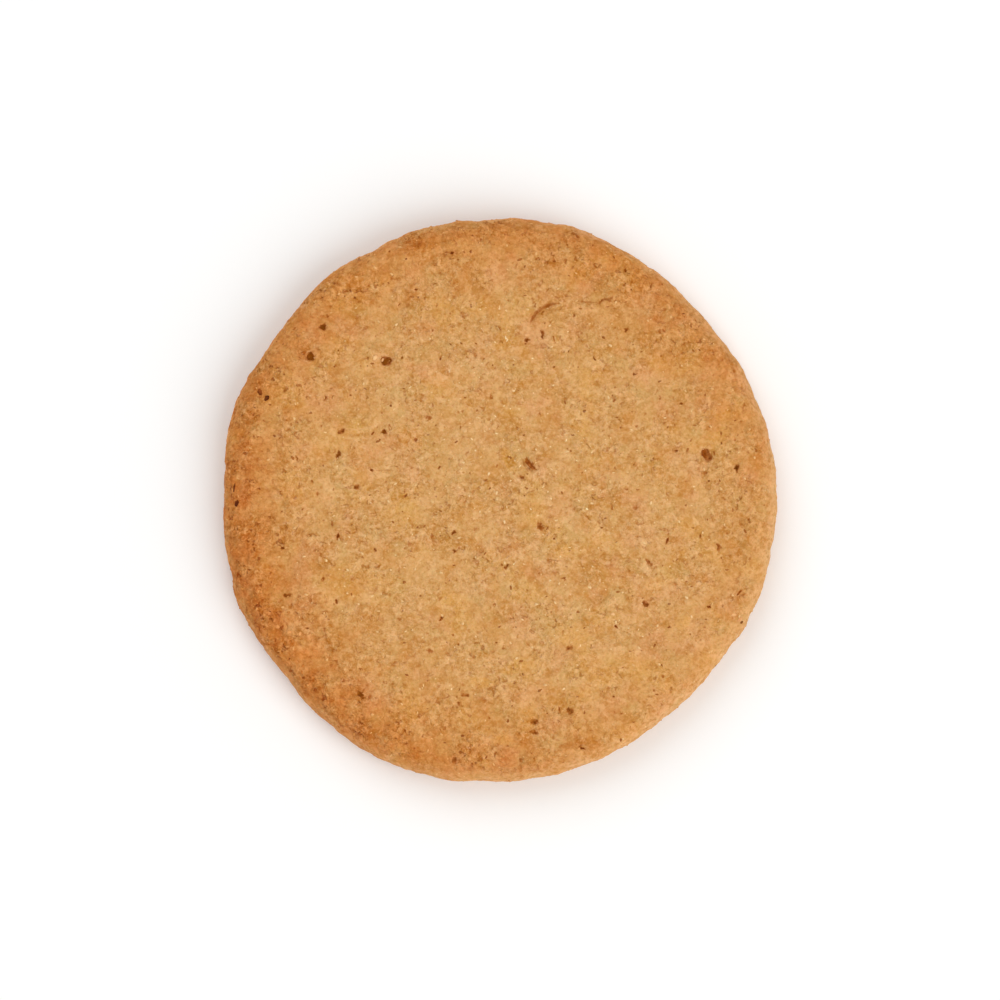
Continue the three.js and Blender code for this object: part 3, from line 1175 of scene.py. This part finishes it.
        # Fine meal: pale on its raised grains and browner in the low places between them, partly its own tone
        # and partly painted highlight and painted shade, and the same on the skin's raised grains. Then
        # flour, and sugar that didn't melt, painted near white, partly its own colour and partly painted
        # glints.
        # Real flour is too fine to show, so it is drawn about twice as coarse.
        meal = noise(self.meal_size, 3.0, 0.5, Roughness=0.6, Distortion=0.4)
        flour = noise(self.flour_size, 1.0, 6.1)
        colour = coat.over(
            colour,
            (self.pale, Step(meal, 0.51, 0.68, 0.45), rough),
            (self.meal_brown_shade, Step(meal, 0.49, 0.32, 0.45), rough),
            (self.pale, Step(known["grain"], 0.02, 0.2, 0.25)),
            (self.meal_brown_shade, Step(known["grain"], -0.03, -0.2, 0.35)),
            (self.pale, Step(flour, 0.54, 0.72, 0.22)),
            (self.shaded, Step(flour, 0.46, 0.28, 0.26)),
            (self.sugar, self.sugar_glints.share(coat, torn)),
        )

        # The skin that closes the rim is smoother and paler, and thin in places. Its paleness, widest on the
        # side towards the key lamp, is partly painted light.
        closed = add("ShaderNodeMath", {0: 1.0, 1: opened}, operation="SUBTRACT")
        mealy = coat.over(
            self.skin,
            (self.toasted, Step(meal, 0.54, 0.36, 0.75)),
            (self.toasted, Step(noise(self.skin_patch_size, 2.0, 2.3), 0.5, 0.66, 0.6)),
        )
        thin = Step(noise(self.skin_break, 2.0, 7.3), 0.36, 0.62, 1.2, 0.4)
        colour = coat.over(colour, (mealy, closed, thin))

        # The oven's browning towards the edge, broken up by the grain.
        uneven = coat.waver(self.bake_patch_size, 3.0, 0.9, self.unevenness)
        colour = coat.browned(colour, coat.share(known["bake"], uneven))

        # The creases, darkened with painted shade, and the painted shade on the dough under their laps.
        aside = add("ShaderNodeMath", {0: known["aside"]}, operation="ABSOLUTE")
        frayed = add("ShaderNodeMath", {0: noise(self.fray_size, 2.0, 5.3), 1: 0.5}, operation="SUBTRACT")
        frayed = add("ShaderNodeMath", {0: frayed, 1: self.fray_reach, 2: aside}, operation="MULTIPLY_ADD")
        frayed = add("ShaderNodeMath", {0: frayed, 1: known["half_width"]}, operation="SUBTRACT")
        colour = coat.over(
            colour,
            (self.meal_brown_shade, known["lap"], 0.45),
            (self.gap_brown_shade, Step(frayed, 0.06 * MM, -0.06 * MM, 0.85), known["crease"]),
            (self.pore_shade, Step(frayed, -0.05 * MM, -0.14 * MM, 0.9), Step(known["crease"], 0.5, 1.0)),
        )

        # The floors of the real hollows, with crumbly borders, darkened with painted shade as deep as they
        # go: a warmer, lighter brown where they are deep and wide.
        hollow = coat.share(known["pit"], coat.waver(self.crumb_size, 2.0, 3.1, self.unevenness))
        floor = coat.over(self.pore_shade, (self.floor_brown_shade, Step(known["pit"], 0.4, 0.68, 0.35)))
        colour = coat.over(
            colour,
            (self.gap_brown_shade, Step(hollow, 0.08, 0.34, 0.72)),
            (floor, Step(hollow, 0.3, 0.72, 0.92)),
        )

        # Bump finer than the skin's own points: the curled edges, and with them the meal and the gaps.
        height = add("ShaderNodeMath", {0: tread, 1: coat.share(Step(part, 0.35, 0.65))}, operation="ADD")
        for pattern, rise in ((meal, self.meal_rise), (gap, -self.gap_drop), (pinhole, -self.gap_drop)):
            height = add("ShaderNodeMath", {0: pattern, 1: rise, 2: height}, operation="MULTIPLY_ADD")
        raised = {"Height": coat.share(height, opened, rough), "Distance": self.curl_height, "Strength": 1.0}
        return coat.finished(colour, add("ShaderNodeBump", raised))


@dataclass(frozen=True)
class BitFinish:
    """The finish of small bits of grain: matt, each a shade of its own, and browned with the dough."""

    name: str
    light: str
    dark: str
    roughness: float
    shade_size: float = 0.6 * MM
    darkest_at: float = 0.35
    lightest_at: float = 0.65
    own_shade: float = 0.6

    def build(self) -> bpy.types.Material:
        """Makes the material.

        Returns:
            The material, which reads Object coordinates, each bit's shade and how browned the dough is.
        """
        coat = Coat(self.name, ("bake", "shade"), Roughness=self.roughness, Specular_IOR_Level=0.12)
        ends = {"From Min": self.darkest_at, "From Max": self.lightest_at}
        tone = coat.add("ShaderNodeMapRange", {"Value": coat.noise(self.shade_size, 2.0), **ends})
        tone = coat.share(tone, 1 - self.own_shade)
        shade = {0: coat.known["shade"], 1: self.own_shade, 2: tone}
        shade = coat.add("ShaderNodeMath", shade, operation="MULTIPLY_ADD")
        colour = coat.over(self.dark, (self.light, shade))
        return coat.finished(coat.browned(colour, coat.known["bake"]))


# ---- Bits set into the crumb ----


class Bit(Enum):
    """The kinds of bits that show in the crumb."""

    MEAL = "meal_grains"
    BRAN = "bran_flecks"
    OAT = "pale_oat_bits"
    GRAIN = "whole_oat_grains"
    HUSK = "dark_husk_specks"


@dataclass(frozen=True)
class PressedBits:
    """Bits of one kind, pressed into the biscuit's top and kept as one piece."""

    bit: Bit
    slot: str
    finish: BitFinish
    flatness: float
    sink: float
    fineness: int

    # The knobs of a bit that is 2 units long: how many there are to a unit, and how high they can stand.
    KNOB_SCALE = 1.3
    KNOB_HEIGHT = 1.1

    def shard(self, recipe: Recipe) -> bpy.types.Node:
        """Adds one knobbly bit, about 2 units long.

        Args:
            recipe: The tree it goes into.

        Returns:
            The node that gives the bit.
        """
        add = recipe.add
        ball = add("GeometryNodeMeshIcoSphere", {"Radius": 1.0, "Subdivisions": self.fineness})
        place = add("GeometryNodeInputPosition")
        knobs = add("ShaderNodeTexNoise", {"Vector": place, "Scale": self.KNOB_SCALE, "Detail": 1.0})
        knobbly = ragged(add, place, knobs, self.KNOB_HEIGHT)
        return add("GeometryNodeSetPosition", {"Geometry": ball, "Position": knobbly})

    def press(
        self,
        recipe: Recipe,
        piece: bpy.types.Object,
        bits: Mapping[str, object],
        upright: bpy.types.Node | bpy.types.NodeSocket,
        turn: bpy.types.Node,
        up: bpy.types.NodeSocket,
    ) -> None:
        """Sets the bits on their points, sinks them into the dough and keeps them as the piece's mesh.

        Args:
            recipe: The tree they are made in, with the input "Finish".
            piece: The piece that they become.
            bits: The points, the bit that lies on each and its size, by the inputs of Instance on Points.
            upright: How a bit is turned to stand upright on the skin.
            turn: The angles by which each one is then turned.
            up: The skin's normal at each point.
        """
        add = recipe.add
        turns = {"Rotation": upright, "Rotate By": add("FunctionNodeEulerToRotation", {"Euler": turn})}
        turned = add("FunctionNodeRotateRotation", turns, rotation_space="LOCAL")
        mesh = add("GeometryNodeInstanceOnPoints", {**bits, "Rotation": turned})
        down = add("ShaderNodeVectorMath", {0: up, "Scale": -self.sink}, operation="SCALE")
        mesh = add("GeometryNodeSetPosition", {"Geometry": mesh, "Offset": down})
        mesh = add("GeometryNodeRealizeInstances", {"Geometry": mesh})
        mesh = add("GeometryNodeSetShadeSmooth", {"Geometry": mesh})
        mesh = add("GeometryNodeSetMaterial", {"Geometry": mesh, "Material": recipe.inputs["Finish"]})
        recipe.run(piece, mesh)


@dataclass(frozen=True)
class ScatteredBits(PressedBits):
    """Bits that lie anywhere on the open crumb, no two closer than their spacing."""

    spacing: float
    shortest: float
    longest: float
    seed: int
    narrowness: float = 0.55
    crowding: float = 0.9
    tilt: float = 0.35

    def build(self, dough: bpy.types.Object) -> bpy.types.Object:
        """Makes the bits as one piece.

        Args:
            dough: The finished biscuit, whose skin they are set into.

        Returns:
            The finished piece.
        """
        piece = new_object(self.bit.value, dough.data.copy())
        recipe = Recipe(
            self.bit.value,
            {
                "Spacing": self.spacing,
                "Density": self.crowding / self.spacing**2,
                "Shortest": self.shortest / 2,
                "Longest": self.longest / 2,
                "Seed": self.seed,
                "Finish": self.finish.build(),
            },
        )
        add, inputs = recipe.add, recipe.inputs
        open_top = add("GeometryNodeInputNamedAttribute", {"Name": "open"}, data_type="FLOAT")
        pit = add("GeometryNodeInputNamedAttribute", {"Name": "pit"}, data_type="FLOAT")
        clear = add("ShaderNodeMath", {0: open_top, 1: pit}, operation="SUBTRACT", use_clamp=True)
        spread = {
            "Mesh": inputs["Mesh"],
            "Distance Min": inputs["Spacing"],
            "Density Max": inputs["Density"],
            "Density Factor": clear,
            "Seed": inputs["Seed"],
        }
        spots = add("GeometryNodeDistributePointsOnFaces", spread, distribute_method="POISSON").outputs
        tilt = self.tilt
        leans = {"Min": (-tilt, -tilt, 0.0), "Max": (tilt, tilt, math.tau), "Seed": self.seed + 1}
        lean = add("FunctionNodeRandomValue", leans, data_type="FLOAT_VECTOR")
        sizes = {"Min": inputs["Shortest"], "Max": inputs["Longest"], "Seed": self.seed + 2}
        shade = add("FunctionNodeRandomValue", {"Seed": self.seed + 3}, data_type="FLOAT")
        shaded = {"Geometry": spots["Points"], "Name": "shade", "Value": shade}
        flat = {"Geometry": self.shard(recipe), "Scale": (1.0, self.narrowness, self.flatness)}
        bits = {
            "Points": add("GeometryNodeStoreNamedAttribute", shaded),
            "Instance": add("GeometryNodeTransform", flat),
            "Scale": add("FunctionNodeRandomValue", sizes, data_type="FLOAT"),
        }
        self.press(recipe, piece, bits, spots["Rotation"], lean, spots["Normal"])
        return piece


@dataclass(frozen=True)
class Lying:
    """How one bit lies: its bearing, its share of the way to the edge, its size, its turn and its shade."""

    bearing: float
    out: float
    length: float
    width: float
    turn: float
    shade: float = 0.5


@dataclass(frozen=True)
class PlacedBits(PressedBits):
    """The few bits that catch the eye, each in its own place."""

    lying: tuple[Lying, ...]

    def points(self) -> bpy.types.Mesh:
        """Makes a loose point over the place of each bit.

        Returns:
            A mesh of points that carry the size, the turn and the shade of their bits.
        """
        low, high = CAD_BOX
        above = (low + high) / 2 + Vector((0, 0, high.z))
        places = []
        for one in self.lying:
            bearing = math.radians(one.bearing)
            way = Vector((math.cos(bearing), math.sin(bearing), 0))
            places.append(above + way * mean_reach(low, high) * one.out)
        mesh = bpy.data.meshes.new(self.bit.value)
        mesh.from_pydata(places, [], [])
        keep_values(
            mesh,
            {
                "length": [one.length * MM / 2 for one in self.lying],
                "width": [one.width * MM / 2 for one in self.lying],
                "turn": [math.radians(one.turn) for one in self.lying],
                "shade": [one.shade for one in self.lying],
            },
        )
        return mesh

    def build(self, dough: bpy.types.Object) -> bpy.types.Object:
        """Makes the bits as one piece.

        Args:
            dough: The finished biscuit, whose skin they are set into.

        Returns:
            The finished piece.
        """
        piece = new_object(self.bit.value, self.points())
        recipe = Recipe(self.bit.value, {"Finish": self.finish.build()})
        add = recipe.add
        known = {}
        for name in ("bake", "length", "width", "turn"):
            known[name] = add("GeometryNodeInputNamedAttribute", {"Name": name}, data_type="FLOAT")
        ray = {
            "Target Geometry": add("GeometryNodeObjectInfo", {"Object": dough}).outputs["Geometry"],
            "Attribute": known["bake"],
            "Ray Direction": (0.0, 0.0, -1.0),
            "Ray Length": 1.0,
        }
        hit = add("GeometryNodeRaycast", ray, data_type="FLOAT").outputs
        baked = {"Geometry": recipe.inputs["Mesh"], "Name": "bake", "Value": shown(hit, "Attribute")}
        up = add("GeometryNodeCaptureAttribute", {"Geometry": add("GeometryNodeStoreNamedAttribute", baked)})
        up.capture_items.new("VECTOR", "Up")
        recipe.tree.links.new(hit["Hit Normal"], up.inputs["Up"])
        thick = add("ShaderNodeMath", {0: known["width"], 1: self.flatness}, operation="MULTIPLY")
        size = {"X": known["length"], "Y": known["width"], "Z": thick}
        bits = {
            "Points": add("GeometryNodeSetPosition", {"Geometry": up, "Position": hit["Hit Position"]}),
            "Instance": self.shard(recipe),
            "Scale": add("ShaderNodeCombineXYZ", size),
        }
        upright = add("FunctionNodeAlignRotationToVector", {"Vector": up.outputs["Up"]}, axis="Z")
        turn = add("ShaderNodeCombineXYZ", {"Z": known["turn"]})
        self.press(recipe, piece, bits, upright, turn, up.outputs["Up"])
        return piece


# ---- The studio ----


@dataclass(frozen=True)
class Lamp:
    """A large soft lamp that looks at the biscuit, from a bearing from +X and a height in degrees."""

    name: str
    bearing: float
    elevation: float
    size: float
    power: float
    distance: float = 1.0

    def hang(self) -> None:
        """Hangs the lamp in its place."""
        lamp = bpy.data.lights.new(self.name, "AREA")
        lamp.shape, lamp.size, lamp.energy = "DISK", self.size, self.power
        holder = new_object(self.name, lamp)
        a, e = math.radians(self.bearing), math.radians(self.elevation)
        away = Vector((math.cos(a) * math.cos(e), math.sin(a) * math.cos(e), math.sin(e)))
        holder.location = away * self.distance
        holder.rotation_euler = away.to_track_quat("Z", "Y").to_euler()


@dataclass(frozen=True)
class Studio:
    """A plain pale floor, soft lights and a long lens that looks almost straight down."""

    elevation: float = math.radians(85)
    distance: float = 0.6
    frame_share: float = 0.5598
    mean_width: float = 62 * MM
    aim_shift: float = -0.17 * MM
    sensor_width: float = 36.0
    clip_start: float = 0.01
    clip_end: float = 10.0
    floor_radius: float = 1.5
    floor_colour: str = "#fbfbfa"
    room_light: float = 0.5
    lamps: tuple[Lamp, ...] = (
        Lamp("key_light", -45, 46, 1.0, 5.75),
        Lamp("fill_light", 120, 50, 0.9, 3.6),
    )

    def floor(self) -> None:
        """Lays the floor just under the biscuit."""
        size = self.floor_radius
        corners = [(-size, -size, 0), (size, -size, 0), (size, size, 0), (-size, size, 0)]
        mesh = bpy.data.meshes.new("studio_floor")
        mesh.from_pydata(corners, [], [(0, 1, 2, 3)])

        # Matt white paper, which takes a soft shadow and has no gloss.
        paper, shader = new_material("matt_white_paper", Roughness=0.9, Specular_IOR_Level=0.1)
        shader.inputs["Base Color"].default_value = linear(self.floor_colour)
        mesh.materials.append(paper)
        new_object("studio_floor", mesh)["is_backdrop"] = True

    def lights(self) -> None:
        """Sets up the pale surroundings and the lamps."""
        world = bpy.data.worlds.new("pale_room")
        bpy.context.scene.world = world
        world.use_nodes = True
        background = next(n for n in world.node_tree.nodes if n.type == "BACKGROUND")
        background.inputs["Color"].default_value = (1, 1, 1, 1)
        background.inputs["Strength"].default_value = self.room_light
        for lamp in self.lamps:
            lamp.hang()

    def camera(self) -> None:
        """Sets up the camera, so that the biscuit fills its share of the frame."""
        low, high = CAD_BOX
        aim = (low + high) / 2 + Vector((0, self.aim_shift, 0))
        lens = bpy.data.cameras.new("camera")
        lens.sensor_width = self.sensor_width
        lens.lens = lens.sensor_width * self.distance * self.frame_share / self.mean_width
        lens.clip_start, lens.clip_end = self.clip_start, self.clip_end
        camera = new_object("camera", lens)
        away = Vector((0, -math.cos(self.elevation), math.sin(self.elevation)))
        camera.location = aim + away * self.distance
        camera.rotation_euler = away.to_track_quat("Z", "Y").to_euler()
        bpy.context.scene.camera = camera

    def build(self) -> None:
        """Sets up the whole studio, with plain colour handling."""
        bpy.context.scene.view_settings.view_transform = "Standard"
        self.floor()
        self.lights()
        self.camera()


# ---- The whole scene ----


def report(piece: bpy.types.Object) -> None:
    """Logs a finished piece's size and its number of triangles.

    Args:
        piece: The piece.
    """
    piece.data.calc_loop_triangles()
    size = ", ".join(f"{d / MM:.1f}" for d in piece.dimensions)
    LOG.info("%s: %d triangles, %s mm", piece.name, len(piece.data.loop_triangles), size)


def kinds_of_bits() -> tuple[ScatteredBits | PlacedBits, ...]:
    """Lists the kinds of bits that are pressed into the top, first the scattered ones.

    Returns:
        The kinds, in the order in which they are made.
    """
    return (
        ScatteredBits(
            bit=Bit.MEAL,
            slot="baked_oat_dough",
            finish=BitFinish("baked_meal_grain", "#e4b270", "#c98d4c", 0.86),
            flatness=0.35,
            sink=0.05 * MM,
            fineness=1,
            spacing=0.62 * MM,
            shortest=0.22 * MM,
            longest=0.6 * MM,
            seed=5,
        ),
        ScatteredBits(
            bit=Bit.BRAN,
            slot="oat_bran",
            finish=BitFinish("oat_bran", "#b5753a", "#8f4e1c", 0.8),
            flatness=0.22,
            sink=0.02 * MM,
            fineness=2,
            spacing=3.4 * MM,
            shortest=0.2 * MM,
            longest=0.6 * MM,
            seed=11,
        ),
        ScatteredBits(
            bit=Bit.OAT,
            slot="oat_grain",
            finish=BitFinish("rolled_oat", "#f8d49e", "#e2b272", 0.75),
            flatness=0.3,
            sink=0.03 * MM,
            fineness=1,
            spacing=1.9 * MM,
            shortest=0.2 * MM,
            longest=0.6 * MM,
            seed=23,
        ),
        PlacedBits(
            bit=Bit.GRAIN,
            slot="oat_grain",
            finish=BitFinish("oat_kernel", "#f5c88e", "#d68f56", 0.75),
            flatness=0.45,
            sink=0.02 * MM,
            fineness=3,
            lying=(
                Lying(132, 0.663, 0.65, 0.5, 60, 0.9),
                Lying(130.6, 0.642, 0.5, 0.4, 60, 1.0),
                Lying(-27, 0.93, 0.65, 0.4, 5, 0.5),
                Lying(-27.2, 0.957, 0.75, 0.45, 15, 0.3),
                Lying(210.5, 0.916, 0.55, 0.45, 0, 0.9),
                Lying(213, 0.89, 0.5, 0.35, 20, 0.8),
                Lying(214.7, 0.861, 0.45, 0.35, 80, 0.9),
                Lying(207, 0.919, 0.45, 0.35, 40, 0.7),
                Lying(80.5, 0.582, 0.65, 0.4, 0, 0.3),
                Lying(-46.5, 0.58, 0.45, 0.35, 0, 1.0),
            ),
        ),
        PlacedBits(
            bit=Bit.HUSK,
            slot="oat_bran",
            finish=BitFinish("dark_husk", "#b0692e", "#481c00", 0.85),
            flatness=0.5,
            sink=0.01 * MM,
            fineness=3,
            lying=(
                Lying(157.2, 0.9, 0.65, 0.5, 50, 0.0),
                Lying(156.5, 0.931, 0.7, 0.5, 110, 0.6),
                Lying(181.5, 0.935, 0.7, 0.5, 70, 0.2),
                Lying(178, 0.945, 1.0, 0.25, 80, 0.25),
                Lying(-27.5, 0.967, 0.4, 0.35, 0, 0.1),
            ),
        ),
    )


def main() -> None:
    """Builds the biscuit, its bits and the studio, in that order."""
    logging.basicConfig(level=logging.INFO, format="%(message)s")
    dough = BakedDough(Solid(NODE)).build(OatCrust())
    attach(dough, BODY)
    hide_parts(NODE)
    report(dough)
    for kind in kinds_of_bits():
        bits = kind.build(dough)
        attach(bits, BODY)
        report(bits)

    Studio().build()
    boxes = {"cad": CAD_BOX, "visual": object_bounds()}
    {name: [list(corner) for corner in box] for name, box in boxes.items()}


if __name__ == "__main__":
    main()
